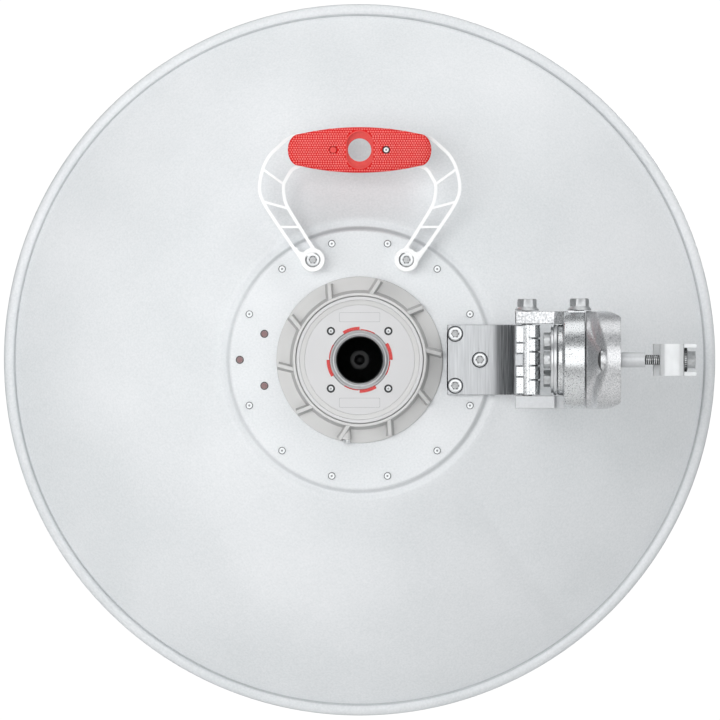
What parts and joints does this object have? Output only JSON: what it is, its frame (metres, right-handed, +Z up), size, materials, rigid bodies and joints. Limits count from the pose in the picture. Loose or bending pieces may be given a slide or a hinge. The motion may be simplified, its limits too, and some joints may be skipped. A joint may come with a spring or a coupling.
{
  "type": "pole-mounted dish antenna",
  "caption": "Round parabolic dish antenna with a central feed, a rear radio port, a carrying handle and a side-arm bracket that clamps to a pole.",
  "frame": {"origin": "middle of the pole seat, the flat at the bottom of the pole jaw's notch", "axes": "+X from the dish towards the pole and out of the seat, +Y the way the dish looks, +Z up the pole"},
  "size_m": [0.55, 0.2559, 0.55],
  "materials": {
    "powder_coated_sheet": "satin",
    "grey_asa": "matte",
    "pale_asa": "matte",
    "white_asa": "matte",
    "red_nylon": "satin",
    "red_rubber": "matte",
    "brushed_aluminium": "brushed",
    "die_cast_aluminium": "satin",
    "zinc_plated_steel": "satin",
    "black_hdpe": "matte"
  },
  "bodies": {
    "clamp": {"pole_jaw": "die_cast_aluminium", "retainer_flange": "zinc_plated_steel", "clamp_bolt_rear": "zinc_plated_steel", "clamp_bolt_front": "zinc_plated_steel", "sleeve_rear": "brushed_aluminium", "sleeve_front": "brushed_aluminium"},
    "yoke": {"yoke": "die_cast_aluminium", "pivot_bolt": "zinc_plated_steel", "tilt_lock_bolt": "zinc_plated_steel"},
    "dish": {"reflector": "powder_coated_sheet", "hub_stiffener": "brushed_aluminium", "port_housing": "grey_asa", "port_face": "pale_asa", "lock_ring": "red_nylon", "port_collar": "die_cast_aluminium", "feed_tube": "brushed_aluminium", "feed_cone": "black_hdpe", "sub_reflector": "brushed_aluminium", "earth_screw": "zinc_plated_steel", "handle_frame": "white_asa", "grip_rear": "red_rubber", "grip_front": "red_rubber", "handle_screw_left": "zinc_plated_steel", "handle_screw_right": "zinc_plated_steel", "side_arm": "brushed_aluminium", "arm_screw_upper": "zinc_plated_steel", "arm_screw_middle": "zinc_plated_steel", "arm_screw_lower": "zinc_plated_steel"},
    "jaw": {"moving_jaw": "brushed_aluminium", "nut_rear": "zinc_plated_steel", "nut_front": "zinc_plated_steel"}
  },
  "joints": [
    {"name": "elevation", "type": "hinge", "parent": "clamp", "child": "yoke", "pos_m": [-0.022, 0, 0], "axis": [1, 0, 0], "range_deg": [-20, 20]},
    {"name": "azimuth", "type": "hinge", "parent": "yoke", "child": "dish", "pos_m": [-0.0575, 0, 0], "axis": [0, 0, 1], "range_deg": [-15, 15]},
    {"name": "jaw_slide", "type": "slide", "parent": "clamp", "child": "jaw", "axis": [1, 0, 0], "range_m": [-0.008, 0]}
  ]
}
